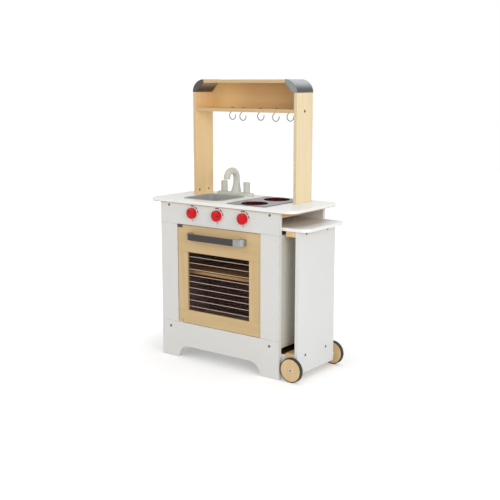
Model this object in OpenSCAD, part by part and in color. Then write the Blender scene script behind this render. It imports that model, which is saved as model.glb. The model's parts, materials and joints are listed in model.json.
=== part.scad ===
// Wooden play kitchen: an oven cabinet with a sink, a tap, a hob and a hood, and a
// trolley on two wheels that is parked in its right-hand side. Millimetres, +Z up.
// Lengths below are taken from the front left foot of the cabinet: x to the right
// along the front, y from the front face to the back, z from the floor. placed() then
// moves every piece so that the origin is under the middle of the whole outline.

/* [Cabinet] */
// Width over the front frame
cabinet_w = 524; // [500:1:560]
// Depth from the front face to the back face
cabinet_d = 278; // [265:1:300]
// Height of the front and back panels
cabinet_h = 568; // [550:1:600]
// Thickness of the front and back panels
panel_t = 15; // [13:0.5:18]
// Height of the front frame's top rail
top_rail_h = 74.5; // [66:0.5:84]
// Height of the front frame's bottom rail
bottom_rail_h = 133.5; // [124:0.5:142]
// Width of each front stile
stile_w = 78; // [66:1:90]
// Height of the arch in the front and back panels
arch_h = 46; // [36:1:60]
// Width of the foot at each end of the arch
foot_w = 78; // [66:1:90]
// Rounding of the foot's inner corner
foot_r = 10; // [4:1:12]

/* [Oven box] */
// Thickness of the side panel, oven floor, oven top and oven wall
board_t = 12; // [10:0.5:15]
// Distance from the panel edges to the outer faces of the sides
side_inset = 4; // [2:0.5:10]
// Height of the left side panel's lower edge
side_foot_z = 22; // [10:1:60]
// Height of the oven floor's underside
oven_floor_z = 106; // [100:1:110]
// Height of the gap between the oven box and the trolley's top board
oven_top_gap = 15.5; // [6:0.5:18]
// Height of the upper face of the oven shelf
oven_shelf_z = 320; // [260:1:360]
// Thickness of the oven shelf
oven_shelf_t = 10; // [8:0.5:14]
// Distance from the front face to the oven shelf's front edge
oven_shelf_y = 40; // [30:1:60]
// Width and height of the square cleats under the oven shelf
cleat_s = 16; // [12:1:22]
// Distance from the oven shelf's front edge to the cleats
cleat_back = 10; // [0:1:40]
// Distance from the panel edge to the middle of each cross rail and bolt
bolt_inset = 40; // [34:1:44]
// Thickness of the cross rails under the worktop
rail_t = 18; // [14:0.5:20]

/* [Worktop] */
// Thickness of the worktop
worktop_t = 12; // [10:0.5:18]
// Overhang at the front
worktop_front = 8; // [2:1:14]
// Overhang at the back
worktop_back = 4; // [0:1:12]
// Overhang at the left
worktop_left = 52; // [30:1:60]
// Overhang at the right
worktop_right = 57; // [54:1:72]
// Corner radius
worktop_r = 34; // [20:1:44]

/* [Sink and hob] */
// Width of the sink over its rim
sink_w = 172; // [150:1:180]
// Depth of the sink over its rim, from front to back
sink_l = 172; // [150:1:174]
// Distance from the cabinet's left edge to the sink
sink_x = 60; // [52:1:66]
// Distance from the front face to the sink
sink_y = 40; // [34:1:40]
// Radius of the sink's corners
sink_r = 30; // [20:1:36]
// Depth of the basin below the worktop's surface
sink_depth = 48; // [36:1:50]
// Wall of the basin
sink_wall = 1.6; // [1.2:0.1:2.5]
// Width of the rim that lies on the worktop
sink_rim = 9; // [7:0.5:12]
// Draw-in of the basin's walls from rim to bottom
sink_draft = 6; // [3:0.5:10]
// Distance between the sink and the hob plate
hob_gap = 52; // [44:1:70]
// Depth of the hob plate, from front to back
hob_l = 238; // [220:1:244]
// Distance from the cabinet's right edge to the hob plate
hob_x = 73; // [66:1:82]
// Distance from the front face to the hob plate
hob_y = 20; // [14:1:26]
// Thickness of the hob plate
hob_t = 1.5; // [1:0.1:3]
// Corner radius of the hob plate
hob_r = 6; // [2:0.5:16]
// Diameter of each burner
burner_d = 92; // [80:1:96]
// Distance between the burners
burner_pitch = 131; // [118:1:136]
// Thickness of each burner disc
burner_t = 0.8; // [0.5:0.1:2]

/* [Tap] */
// Width of the base plate
tap_w = 162; // [150:1:172]
// Depth of the base plate, from front to back
tap_l = 32; // [30:1:36]
// Thickness of the base plate
tap_t = 8; // [6:0.5:12]
// Gap between the sink's rim and the base plate
tap_gap = 2; // [1:0.5:6]
// Distance from the sink's middle to the spout, to the right
tap_shift = 16.5; // [0:0.5:20]
// Distance from the base plate's ends to the handles' middles
tap_handle_inset = 29; // [20:1:40]
// Diameter of each handle
tap_handle_d = 25; // [20:1:28]
// Height of each handle
tap_handle_h = 43; // [34:1:56]
// Diameter of the spout tube
spout_d = 22; // [18:1:26]
// Radius of the spout's arch along the middle of the tube
spout_r = 27; // [22:1:32]
// Height of the arch's centre above the base plate
spout_h = 55; // [50:1:70]
// Diameter of the column's foot
spout_foot_d = 33; // [28:1:38]
// Height of the flared column
spout_foot_h = 40; // [30:1:46]

/* [Hood] */
// Distance from the cabinet's edges to the posts' outer faces
hood_inset = 34.5; // [28:0.5:40]
// Height of the hood above the worktop
hood_h = 419; // [390:1:450]
// Thickness of the posts and boards
post_t = 12; // [10:0.5:15]
// Depth of the posts and boards, from front to back
post_l = 98; // [90:1:112]
// Distance from the front face to the posts
post_y = 145; // [136:1:150]
// Height of the corner caps
cap_h = 44; // [38:1:54]
// Width of the corner caps
cap_w = 49; // [44:1:58]
// Amount by which the caps stand proud of the boards
cap_proud = 1; // [0.5:0.1:2]
// Distance from the top to the shelf's underside
hood_shelf_drop = 112; // [100:1:130]
// Thickness of the back board
back_board_t = 9; // [6:0.5:12]
// Distance from the posts' back edges to the back board and the shelf
back_board_set = 3; // [0:0.5:8]
// Distance from the posts' front edges to the shelf's front edge
hood_shelf_set = 2; // [0:0.5:8]
// Wire diameter of the hooks
hook_wire = 3; // [2.5:0.1:4]
// Radius of the hooks along the middle of the wire
hook_r = 14; // [12:0.5:15]
// Distance between the two shelf holes of a hook
hook_hole_pitch = 11; // [10:0.5:13]
// Distance from the posts' front edges to the hooks
hook_y = 50; // [40:1:60]
// Diameter of the pegs on the corner caps
cap_peg_d = 6; // [4:0.5:7]
// Length of the pegs on the corner caps
cap_peg_l = 16; // [10:1:24]
// Distance from the edges of the posts and of the top board to the pegs
cap_peg_inset = 24; // [16:1:34]

/* [Door] */
// Thickness of the door
door_t = 12; // [11:0.5:13]
// Gap around the door
door_gap = 1; // [0.8:0.1:1.5]
// Width of the door's stiles
door_stile_w = 46; // [40:1:54]
// Height of the door's top rail
door_top_h = 96; // [88:1:104]
// Height of the door's bottom rail
door_bottom_h = 49; // [44:1:60]
// Thickness of the window pane
pane_t = 3; // [2:0.5:3.5]
// Width of the rebate that holds the pane
rebate_w = 6; // [4:0.5:8]
// Distance from the door's left edge to the hinge pins
pin_inset = 9; // [8:0.5:11]
// Diameter of the hinge pins
pin_d = 5; // [4:0.5:6]
// Length of the hinge pins
pin_l = 28; // [24:1:34]
// Reach of the hinge blocks to the right of the pins
block_r = 13.4; // [12:0.1:16]
// Height of the hinge blocks
block_h = 11; // [9:0.5:14]
// Width of the bow handle
handle_w = 252; // [240:1:280]
// Distance the bow handle stands out
handle_out = 30; // [26:1:34]
// Height of the bow handle's strap
handle_h = 23; // [16:0.5:26]
// Thickness of the bow handle's strap
handle_t = 8; // [6:0.5:9]
// Radius of the bow handle's corners
handle_r = 28; // [20:1:28]
// Distance from the door's top edge to the bow handle
handle_drop = 24; // [20:1:34]
// Distance from the bow handle's right end to its grip strip
grip_end = 36; // [30:1:60]
// Diameter of the bow handle's screws
handle_screw_d = 4; // [3:0.5:5]
// Height of the magnetic catch
catch_h = 34; // [24:1:44]

/* [Knobs] */
// Diameter of the knobs
knob_d = 38; // [32:1:42]
// Distance the knobs stand out
knob_out = 14; // [12:0.5:18]
// Distance between the knobs
knob_pitch = 112; // [98:1:122]
// Distance from the panel's top edge to the knobs' middle
knob_drop = 30.5; // [26:0.5:34]
// Diameter of the turning stems
stem_d = 10; // [8:0.5:12]

/* [Trolley] */
// Thickness of the trolley's boards
trolley_t = 12; // [10:0.5:15]
// Distance from the cabinet's top edge to the top board's underside
trolley_top_drop = 59; // [57:0.5:68]
// Distance from the cabinet's right edge to the side panel's outer face
trolley_out = 62; // [60:1:72]
// Overhang of the top board past the side panel
trolley_over = 34; // [8:1:40]
// Distance from the front and back panels' inner faces to the battens
trolley_inset = 5; // [4:0.5:12]
// Distance from the battens' back ends to the side panel's back edge
side_back_set = 11; // [0:1:16]
// Gap between the trolley's boards and the front and back panels
slide_gap = 0.6; // [0.4:0.1:0.9]
// Corner radius of the top board
trolley_r = 30; // [16:1:40]
// Height of the side panel's lower edge
trolley_foot_z = 22; // [14:1:30]
// Height of the bottom shelf's underside
trolley_shelf_z = 78; // [74:0.5:80]
// Distance from the left side panel to the trolley's inner end
inner_gap = 8; // [4:1:30]
// Height of the arch in the inner leg
leg_arch_h = 24; // [16:1:40]
// Width of each foot of the inner leg
leg_foot_w = 34; // [24:1:50]
// Rounding of the feet of the inner leg
leg_foot_r = 6; // [2:0.5:8]
// Width of the upper batten
upper_batten_w = 38; // [30:1:42]
// Height of the upper batten
upper_batten_h = 18; // [14:1:24]
// Width of the lower batten
lower_batten_w = 37; // [30:1:42]
// Height of the lower batten's lower edge
lower_batten_z = 25; // [18:1:30]
// Height of the lower batten above the shelf
lower_batten_up = 3; // [1:0.5:8]
// Distance from the side panel's front edge to its front bolts
side_bolt_front = 48; // [36:1:60]
// Distance from the side panel's back edge to its rear bolts
side_bolt_back = 51; // [36:1:66]
// Length of the side panel's bolts in the battens
side_bolt_grip = 30; // [20:1:34]

/* [Wheels] */
// Diameter of the wheels over the tyres
wheel_d = 84.4; // [76:0.4:90]
// Thickness of the tyres
tyre_t = 3.6; // [2.5:0.1:6]
// Width of the wheels
wheel_w = 14; // [12:0.5:16]
// Gap between the parked wheels and the cabinet's edge
wheel_gap = 3.3; // [2:0.1:4]
// Diameter of the bushings in the wheels
bushing_d = 13; // [12:0.5:16]
// Diameter of the wheel screws
axle_d = 6; // [5:0.5:7]

/* [Fasteners] */
// Diameter of the bolts
bolt_d = 6; // [5:0.5:7]
// Diameter of the bolt heads
bolt_head_d = 10; // [9:0.5:12]
// Thickness of the bolt heads
bolt_head_t = 2.4; // [2:0.1:3]
// Length of the bolts under the head
bolt_l = 38; // [30:1:42]
// Distance from a post's front edge to its front bolt
post_bolt_front = 18; // [12:1:24]
// Distance between the two bolts of a post
post_bolt_pitch = 52; // [44:1:70]
// Diameter of the cross dowels in the posts
dowel_d = 8; // [7:0.5:9]
// Length of the cross dowels in the posts
dowel_l = 9; // [7:0.5:9.5]
// Height of the cross dowels above the worktop
dowel_z = 18; // [15:1:24]

/* [Hidden] */
$fn = 64;

birch = "#dcbe87";
white = "#e4e3e0";

// Small clearances
run_gap = 0.05;      // radius of a turning pin to its hole
bolt_gap = 0.1;      // radius of a bolt to its hole
skin_gap = 0.3;      // faces that pass each other
through = 1;         // cutters run this far past a face

// Cabinet
worktop_z = cabinet_h + worktop_t;
inner_y0 = panel_t;
inner_y1 = cabinet_d - panel_t;
left_x1 = side_inset + board_t;
right_x1 = cabinet_w - side_inset;
oven_z0 = oven_floor_z + board_t;
trolley_top_z = cabinet_h - trolley_top_drop;
oven_z2 = trolley_top_z - oven_top_gap;
door_z0 = bottom_rail_h;
door_z1 = cabinet_h - top_rail_h;
rail_w_left = 2 * (bolt_inset - left_x1);
rail_w_right = 2 * (bolt_inset - side_inset);
floor_bolt_z = oven_floor_z + board_t / 2;
rail_bolt_z = cabinet_h - rail_t / 2;
bolt_x = [bolt_inset, cabinet_w - bolt_inset];
bolt_z = [floor_bolt_z, rail_bolt_z];
bolt_sink = 0.3;     // the heads lie this far under the face

// Sink, hob and tap
sink_hole_gap = 1;
sink_body_w = sink_w - 2 * sink_rim;
sink_body_l = sink_l - 2 * sink_rim;
sink_body_r = sink_r - sink_rim;
rim_t = 1.5;
hob_x0 = sink_x + sink_w + hob_gap;
hob_w = cabinet_w - hob_x - hob_x0;
tap_y = sink_y + sink_l + tap_gap + tap_l / 2;
tap_x = sink_x + sink_w / 2 + tap_shift;
tap_handle_pitch = tap_w - 2 * tap_handle_inset;
tap_top = worktop_z + tap_t;

// Hood
hood_x0 = hood_inset;
hood_x1 = cabinet_w - hood_inset;
hood_z = worktop_z + hood_h;
hood_shelf_z = hood_z - hood_shelf_drop;
post_z1 = hood_z - cap_h;
cap_lip = 18;        // width of the cap's lower face
hook_back = [305.5, 256.5, 179.5, 112.5, 53.5];     // from the right post to each hook
hook_x = [for (back = hook_back) hood_x1 - post_t - back];
hook_leg = [6, 9, 6, 9, 6];
hook_lean = 46;      // degrees from upright
hook_hole_r = hook_wire / 2 + skin_gap;

// Door
door_x0 = stile_w + door_gap;
door_x1 = cabinet_w - stile_w - door_gap;
door_w = door_x1 - door_x0;
door_end_gap = door_gap + 0.5;
door_bottom = door_z0 + door_end_gap;
door_top = door_z1 - door_end_gap;
window_z0 = door_bottom + door_bottom_h;
window_z1 = door_top - door_top_h;
pin_x = door_x0 + pin_inset;
pin_y = door_t / 2;
pin_r = pin_d / 2;
notch_gap = 0.6;
handle_z = door_top - handle_drop - handle_h;
handle_x0 = (cabinet_w - handle_w) / 2;

// Knobs
knob_z = cabinet_h - knob_drop;
knob_x = [for (i = [-1:1]) cabinet_w / 2 + i * knob_pitch];
knob_dot = [135, 0, 225];
barb_d = stem_d + 3;
barb_l = 4;

// Trolley
trolley_x0 = left_x1 + inner_gap;
trolley_x1 = cabinet_w + trolley_out;
trolley_in = trolley_x1 - trolley_t;
trolley_y0 = inner_y0 + slide_gap;
trolley_y1 = inner_y1 - slide_gap;
side_y0 = inner_y0 + trolley_inset;
side_y1 = inner_y1 - trolley_inset;
side_l = side_y1 - side_y0;
side_back_y = side_y1 - side_back_set;
lower_batten_top = trolley_shelf_z + trolley_t + lower_batten_up;
lower_bolt_z = trolley_shelf_z + trolley_t / 2;
upper_bolt_z = trolley_top_z - upper_batten_h / 2;
trolley_bolt_y = [side_y0 + side_bolt_front, side_back_y - side_bolt_back];
trolley_bolt_l = trolley_t + side_bolt_grip;

// Wheels
wheel_r = wheel_d / 2;
wheel_x = cabinet_w + wheel_gap + wheel_r;
disc_r = wheel_r - tyre_t;
wheel_side_gap = 4;  // between the side panel's edge and the wheel
front_wheel_y = side_y0 - wheel_side_gap - wheel_w;
rear_wheel_y = side_y1 + wheel_side_gap;
bushing_r = bushing_d / 2;
axle_r = axle_d / 2;
axle_grip = 24;      // length of the wheel screw in the batten

// Middle of the whole outline
right_end = max(trolley_x1 + trolley_over, cabinet_w + worktop_right, wheel_x + wheel_r);
front_end = min(-handle_out, -knob_out, -worktop_front, front_wheel_y);
back_end = max(cabinet_d + worktop_back, rear_wheel_y + wheel_w);
mid_x = (right_end - worktop_left) / 2;
mid_y = (back_end + front_end) / 2;

// ---------------------------------------------------------------- shapes

// Every piece is drawn from the front left foot and moved to the middle of the outline
module placed() translate([-mid_x, -mid_y, 0]) children();

// A board between two corners
module board(from, to) translate(from) cube(to - from);

// A rectangle with round corners, drawn with true arcs
module round_rect(w, l, r) {
    translate([r, 0]) square([w - 2 * r, l]);
    translate([0, r]) square([w, l - 2 * r]);
    for (x = [r, w - r], y = [r, l - r]) translate([x, y]) circle(r);
}

// A cylinder along +X, +Y or +Z from a point
module rod_x(at, r, l) translate(at) rotate([0, 90, 0]) cylinder(r = r, h = l);
module rod_y(at, r, l) translate(at) rotate([-90, 0, 0]) cylinder(r = r, h = l);
module rod_z(at, r, l) translate(at) cylinder(r = r, h = l);

// Draws an outline of x and z as a plate that runs from y to y + t
module xz_plate(y, t) translate([0, y + t, 0]) rotate([90, 0, 0]) linear_extrude(t) children();

// The arch between the two feet of a panel of width w, with the feet's round corners
module arch(w, h, foot, corner) {
    translate([foot + h, -through]) square([w - 2 * (foot + h), h + through]);
    for (side = [0, 1]) translate([side * w, 0]) mirror([side, 0]) {
        intersection() {
            translate([foot + h, 0]) circle(h);
            translate([foot, -through]) square([h + through, h + 2 * through]);
        }
        difference() {
            translate([foot - corner, -through]) square([corner + through, corner + through]);
            translate([foot - corner, corner]) circle(corner);
        }
    }
}

// A bolt along +Y with its socket head at the front; the point is the head's outer face
module bolt(l) {
    difference() {
        rotate([-90, 0, 0]) cylinder(r = bolt_head_d / 2, h = bolt_head_t);
        translate([0, -through, 0]) rotate([-90, 0, 0])
            cylinder(r = bolt_d / 3, h = through + bolt_head_t * 0.7, $fn = 6);
    }
    translate([0, bolt_head_t, 0]) rotate([-90, 0, 0]) cylinder(r = bolt_d / 2, h = l);
}

// The hole that a bolt of this length needs: a counterbore and a blind bore
module bolt_hole(l) {
    translate([0, -through, 0]) rotate([-90, 0, 0])
        cylinder(r = bolt_head_d / 2 + bolt_gap, h = through + bolt_sink + bolt_head_t);
    translate([0, bolt_sink, 0]) rotate([-90, 0, 0])
        cylinder(r = bolt_d / 2 + bolt_gap, h = bolt_head_t + l + through);
}

// Places its children at the cabinet's bolts: at the front looking back, and at the
// back looking forward
module at_front_bolts(zs) for (x = bolt_x, z = zs) translate([x, 0, z]) children();
module at_back_bolts(zs) for (x = bolt_x, z = zs) translate([x, cabinet_d, z]) rotate([0, 0, 180]) children();

// A turning stem with a snap-in barb, along +Y, that holds a panel of thickness t
module snap_stem(t) {
    rotate([-90, 0, 0]) cylinder(r = stem_d / 2, h = t + 2 * skin_gap + barb_l);
    translate([0, t + 2 * skin_gap, 0]) rotate([-90, 0, 0])
        cylinder(r1 = barb_d / 2, r2 = stem_d / 2 - 1, h = barb_l);
}

// ---------------------------------------------------------------- cabinet

module front_top_rail() color(white) placed() difference() {
    board([0, 0, door_z1], [cabinet_w, panel_t, cabinet_h]);
    for (x = knob_x) rod_y([x, -through, knob_z], stem_d / 2 + run_gap, panel_t + 2 * through);
    at_front_bolts([rail_bolt_z]) bolt_hole(bolt_l);
}

module front_bottom_rail() color(white) placed() difference() {
    xz_plate(0, panel_t) difference() {
        square([cabinet_w, bottom_rail_h]);
        arch(cabinet_w, arch_h, foot_w, foot_r);
    }
    at_front_bolts([floor_bolt_z]) bolt_hole(bolt_l);
}

module front_stile(x) color(white) placed()
    board([x, 0, door_z0], [x + stile_w, panel_t, door_z1]);

module back_panel() color(white) placed() difference() {
    xz_plate(inner_y1, panel_t) difference() {
        square([cabinet_w, cabinet_h]);
        arch(cabinet_w, arch_h, foot_w, foot_r);
    }
    at_back_bolts(bolt_z) bolt_hole(bolt_l);
}

module left_side_panel() color(white) placed()
    board([side_inset, inner_y0, side_foot_z], [left_x1, inner_y1, cabinet_h]);

module oven_right_wall() color(white) placed()
    board([right_x1 - board_t, inner_y0, oven_z0], [right_x1, inner_y1, oven_z2 - board_t]);

module oven_floor() color(birch) placed() difference() {
    board([left_x1, inner_y0, oven_floor_z], [right_x1, inner_y1, oven_z0]);
    at_front_bolts([floor_bolt_z]) bolt_hole(bolt_l);
    at_back_bolts([floor_bolt_z]) bolt_hole(bolt_l);
}

module oven_top() color(birch) placed()
    board([left_x1, inner_y0, oven_z2 - board_t], [right_x1, inner_y1, oven_z2]);

module oven_shelf() color(birch) placed()
    board([left_x1, oven_shelf_y, oven_shelf_z - oven_shelf_t],
          [right_x1 - board_t, inner_y1, oven_shelf_z]);

module shelf_cleats() color(birch) placed()
    for (x = [left_x1, right_x1 - board_t - cleat_s])
        board([x, oven_shelf_y + cleat_back, oven_shelf_z - oven_shelf_t - cleat_s],
              [x + cleat_s, inner_y1, oven_shelf_z - oven_shelf_t]);

module cross_rail(x, w) color(birch) placed() difference() {
    board([x, inner_y0, cabinet_h - rail_t], [x + w, inner_y1, cabinet_h]);
    at_front_bolts([rail_bolt_z]) bolt_hole(bolt_l);
    at_back_bolts([rail_bolt_z]) bolt_hole(bolt_l);
    post_bolt_holes();
}

module cabinet_bolts() color("dimgray") placed() {
    at_front_bolts(bolt_z) translate([0, bolt_sink, 0]) bolt(bolt_l);
    at_back_bolts(bolt_z) translate([0, bolt_sink, 0]) bolt(bolt_l);
    post_bolts();
}

// ---------------------------------------------------------------- worktop

module worktop() color(white) placed() difference() {
    translate([-worktop_left, -worktop_front, cabinet_h]) linear_extrude(worktop_t)
        round_rect(worktop_left + cabinet_w + worktop_right,
                   worktop_front + cabinet_d + worktop_back, worktop_r);
    translate([sink_x + sink_rim - sink_hole_gap, sink_y + sink_rim - sink_hole_gap,
               cabinet_h - through])
        linear_extrude(worktop_t + 2 * through)
            round_rect(sink_body_w + 2 * sink_hole_gap, sink_body_l + 2 * sink_hole_gap,
                       sink_body_r + sink_hole_gap);
    at_tap_handles() rod_z([0, 0, cabinet_h - through], stem_d / 2 + run_gap, worktop_t + 2 * through);
    post_bolt_holes();
}

// Block of the basin that is inset by d all round, from the rim down to the height z
module basin_block(d, z) {
    slab = 0.5;
    hull() for (level = [[0, worktop_z], [sink_draft, z]])
        translate([sink_x + sink_rim + d + level[0], sink_y + sink_rim + d + level[0], level[1]])
            linear_extrude(slab)
                round_rect(sink_body_w - 2 * (d + level[0]), sink_body_l - 2 * (d + level[0]),
                           sink_body_r - d, $fn = 32);
}

module sink_basin() color("#a6a9a8") placed() {
    drain_r = 17;
    difference() {
        union() {
            basin_block(0, worktop_z - sink_depth - sink_wall);
            translate([sink_x, sink_y, worktop_z]) linear_extrude(rim_t)
                round_rect(sink_w, sink_l, sink_r);
        }
        translate([0, 0, rim_t]) basin_block(sink_wall, worktop_z - sink_depth - rim_t);
    }
    translate([sink_x + sink_w / 2, sink_y + sink_l / 2, worktop_z - sink_depth])
        rotate_extrude() translate([drain_r - 3, -0.2]) square([3, 1.4]);
}

module hob_plate() color("#a5a5aa") placed()
    translate([hob_x0, hob_y, worktop_z]) linear_extrude(hob_t) round_rect(hob_w, hob_l, hob_r);

module burner_discs() color("#2a1416") placed()
    for (side = [-1, 1])
        rod_z([hob_x0 + hob_w / 2, hob_y + hob_l / 2 + side * burner_pitch / 2, worktop_z + hob_t],
              burner_d / 2, burner_t);

// ---------------------------------------------------------------- tap

module at_tap_handles()
    for (side = [-1, 1]) translate([tap_x + side * tap_handle_pitch / 2, tap_y, 0]) children();

module tap_body() color("#cdcdc3") placed() {
    back_y = tap_y + spout_d / 2;
    difference() {
        translate([tap_x - tap_w / 2, tap_y - tap_l / 2, worktop_z]) linear_extrude(tap_t)
            round_rect(tap_w, tap_l, tap_l / 2 - 1);
        at_tap_handles() rod_z([0, 0, worktop_z - through], stem_d / 2 + run_gap, tap_t + 2 * through);
    }
    hull() {
        translate([tap_x, back_y - spout_foot_d / 2, tap_top])
            cylinder(r = spout_foot_d / 2, h = 1, $fn = 32);
        translate([tap_x, tap_y, tap_top + spout_foot_h])
            cylinder(r = spout_d / 2, h = 1, $fn = 32);
    }
    rod_z([tap_x, tap_y, tap_top + 1], spout_d / 2, spout_h - 1);
    translate([tap_x, tap_y - spout_r, tap_top + spout_h]) rotate([90, 0, 90])
        rotate_extrude(angle = 180) translate([spout_r, 0]) circle(spout_d / 2);
}

// Left handle at side -1, right handle at side 1
module tap_handle(side) color("#c8c8c0") placed()
    translate([tap_x + side * tap_handle_pitch / 2, tap_y, 0]) {
        edge = 3;
        translate([0, 0, tap_top + skin_gap]) rotate_extrude() {
            square([tap_handle_d / 2, tap_handle_h - edge]);
            square([tap_handle_d / 2 - edge, tap_handle_h]);
            translate([tap_handle_d / 2 - edge, tap_handle_h - edge]) intersection() {
                circle(edge);
                square(edge + through);
            }
        }
        translate([0, 0, tap_top + skin_gap]) rotate([-90, 0, 0]) snap_stem(tap_t + worktop_t);
    }

// ---------------------------------------------------------------- hood

// Each post stands on two bolts that come up through a cross rail and the worktop into
// cross dowels
post_bolt_l = rail_t + worktop_t + dowel_z + dowel_d / 2;
post_bolt_y = [post_y + post_bolt_front, post_y + post_bolt_front + post_bolt_pitch];
post_bolt_x = [hood_x0 + post_t / 2, hood_x1 - post_t / 2];

module at_post_bolts() for (x = post_bolt_x, y = post_bolt_y) translate([x, y, 0]) children();

module post_bolt_holes() at_post_bolts()
    rod_z([0, 0, cabinet_h - rail_t - through], bolt_d / 2 + bolt_gap, post_bolt_l + 2 * through);

module post_bolts() at_post_bolts()
    translate([0, 0, cabinet_h - rail_t - bolt_head_t]) rotate([90, 0, 0]) bolt(post_bolt_l);

// Dowels of one post; inward is 1 for the left post and -1 for the right one
module dowels(x, inward, gap)
    for (y = post_bolt_y) translate([x, y, worktop_z + dowel_z]) rotate([0, inward * 90, 0])
        translate([0, 0, post_t - dowel_l])
            cylinder(r = dowel_d / 2 + gap, h = dowel_l + (gap > 0 ? through : 0));

module post(x, inward) {
    outer = inward > 0 ? x : x + post_t;
    color(birch) placed() difference() {
        board([x, post_y, worktop_z], [x + post_t, post_y + post_l, post_z1]);
        post_bolt_holes();
        dowels(outer, inward, run_gap);
        hood_screw_holes();
        post_pegs(run_gap);
    }
}

// The cross dowels of both posts, and the screws that go through the posts into the shelf
module hood_fasteners() color("dimgray") placed() {
    difference() {
        union() {
            dowels(hood_x0, 1, 0);
            dowels(hood_x1, -1, 0);
        }
        post_bolt_holes();
    }
    at_hood_screws() translate([0, bolt_sink, 0]) bolt(bolt_l);
}

// Pegs that are moulded on the corner caps: they go down into the posts and sideways into
// the top board. With a gap they are the pegs' holes.
peg_y = [post_y + cap_peg_inset, post_y + post_l - cap_peg_inset];
module post_pegs(gap) for (x = post_bolt_x, y = peg_y)
    rod_z([x, y, post_z1 - cap_peg_l - gap], cap_peg_d / 2 + gap, cap_peg_l + through);
module board_pegs(gap) for (y = peg_y) translate([0, y, hood_z - post_t / 2]) {
    rod_x([hood_x0 + cap_w - through, 0, 0], cap_peg_d / 2 + gap, through + cap_peg_l + gap);
    rod_x([hood_x1 - cap_w - cap_peg_l - gap, 0, 0], cap_peg_d / 2 + gap, through + cap_peg_l + gap);
}

// Outline of a corner cap, seen from the front, for the right-hand corner. Its outer
// side is a quarter of an ellipse and its inner side is a straight brace.
module cap_outline() {
    tip = post_t + cap_proud - 0.5;
    w = cap_w + cap_proud;
    h = cap_h + cap_proud;
    intersection() {
        scale([w / h, 1]) circle(h, $fn = 96);
        polygon([[0, h], [0, h - tip], [w - cap_lip, 0], [w, 0], [w, h]]);
    }
}

// side 1 is the right cap and side -1 is the left one
module corner_cap(side) color("#6f7274") placed() {
    middle = cabinet_w / 2;
    translate([middle, 0, 0]) mirror([side > 0 ? 0 : 1, 0, 0])
        translate([hood_x1 - middle - cap_w, 0, post_z1])
            xz_plate(post_y - cap_proud, post_l + 2 * cap_proud) cap_outline();
    intersection() {
        union() {
            post_pegs(0);
            board_pegs(0);
        }
        translate([middle, post_y, 0]) mirror([side > 0 ? 0 : 1, 0, 0])
            cube([hood_x1 - middle, post_l, hood_z]);
    }
}

module hood_top_board() color(birch) placed() difference() {
    board([hood_x0 + cap_w, post_y, hood_z - post_t], [hood_x1 - cap_w, post_y + post_l, hood_z]);
    board_pegs(run_gap);
}

// The back board fits between the posts, and its upper corners follow the caps' braces
module hood_back_board() color("#c89c62") placed() {
    brace_x = cap_lip - post_t - cap_proud;
    x0 = hood_x0 + post_t;
    x1 = hood_x1 - post_t;
    top = hood_z - post_t;
    z0 = hood_shelf_z + post_t;
    xz_plate(post_y + post_l - back_board_t - back_board_set, back_board_t)
        polygon([[x0, z0], [x1, z0], [x1, post_z1], [x1 - brace_x, post_z1], [hood_x1 - cap_w, top - 0.5],
                 [hood_x1 - cap_w, top], [hood_x0 + cap_w, top], [hood_x0 + cap_w, top - 0.5],
                 [x0 + brace_x, post_z1], [x0, post_z1]]);
}

module hood_shelf() color(birch) placed() difference() {
    board([hood_x0 + post_t, post_y + hood_shelf_set, hood_shelf_z],
          [hood_x1 - post_t, post_y + post_l - back_board_set, hood_shelf_z + post_t]);
    for (x = hook_x, end = [0, 1])
        rod_z([x + end * hook_hole_pitch, post_y + hook_y, hood_shelf_z - through],
              hook_hole_r, post_t + 2 * through);
    hood_screw_holes();
}

// One screw through each post into the end of the shelf
hood_screw_z = hood_shelf_z + post_t / 2;
module at_hood_screws() for (side = [0, 1])
    translate([side ? hood_x1 : hood_x0, post_y + post_l / 2, hood_screw_z])
        rotate([0, 0, side ? 90 : -90]) children();
module hood_screw_holes() at_hood_screws() bolt_hole(bolt_l);

// A point of the hook's wire in the XZ plane, filled so that the stretches that meet
// there are one piece
module wire_joint(at) translate([at[0], 0, at[1]]) sphere(hook_wire / 2 + 0.03);

// A straight stretch of the wire between two points
module wire_run(from, to) {
    step = to - from;
    translate([from[0], 0, from[1]]) rotate([0, atan2(step[0], step[1]), 0])
        cylinder(r = hook_wire / 2, h = norm(step));
    wire_joint(to);
}

// A wire hook that hangs by a flat bend through two holes of the shelf. The bend lies
// on the shelf, and a leaning leg goes down into a round hook that is open at the right.
module hook(x, leg) color("silver") placed() translate([x, post_y + hook_y, hood_shelf_z]) {
    top = post_t + hook_wire / 2 + run_gap;
    tip = 15;
    bend = [0, -1];
    leg_end = bend - leg * [sin(hook_lean), cos(hook_lean)];
    centre = leg_end + hook_r * [cos(hook_lean), -sin(hook_lean)];
    wire_run([hook_hole_pitch, 2], [hook_hole_pitch, top]);
    wire_run([hook_hole_pitch, top], [0, top]);
    wire_run([0, top], bend);
    wire_run(bend, leg_end);
    translate([centre[0], 0, centre[1]]) rotate([90, 0, 0]) rotate([0, 0, 180 - hook_lean])
        rotate_extrude(angle = 180 + hook_lean + tip) translate([hook_r, 0]) circle(hook_wire / 2);
    wire_joint(centre + hook_r * [cos(tip), sin(tip)]);
}

// ---------------------------------------------------------------- knobs

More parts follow.
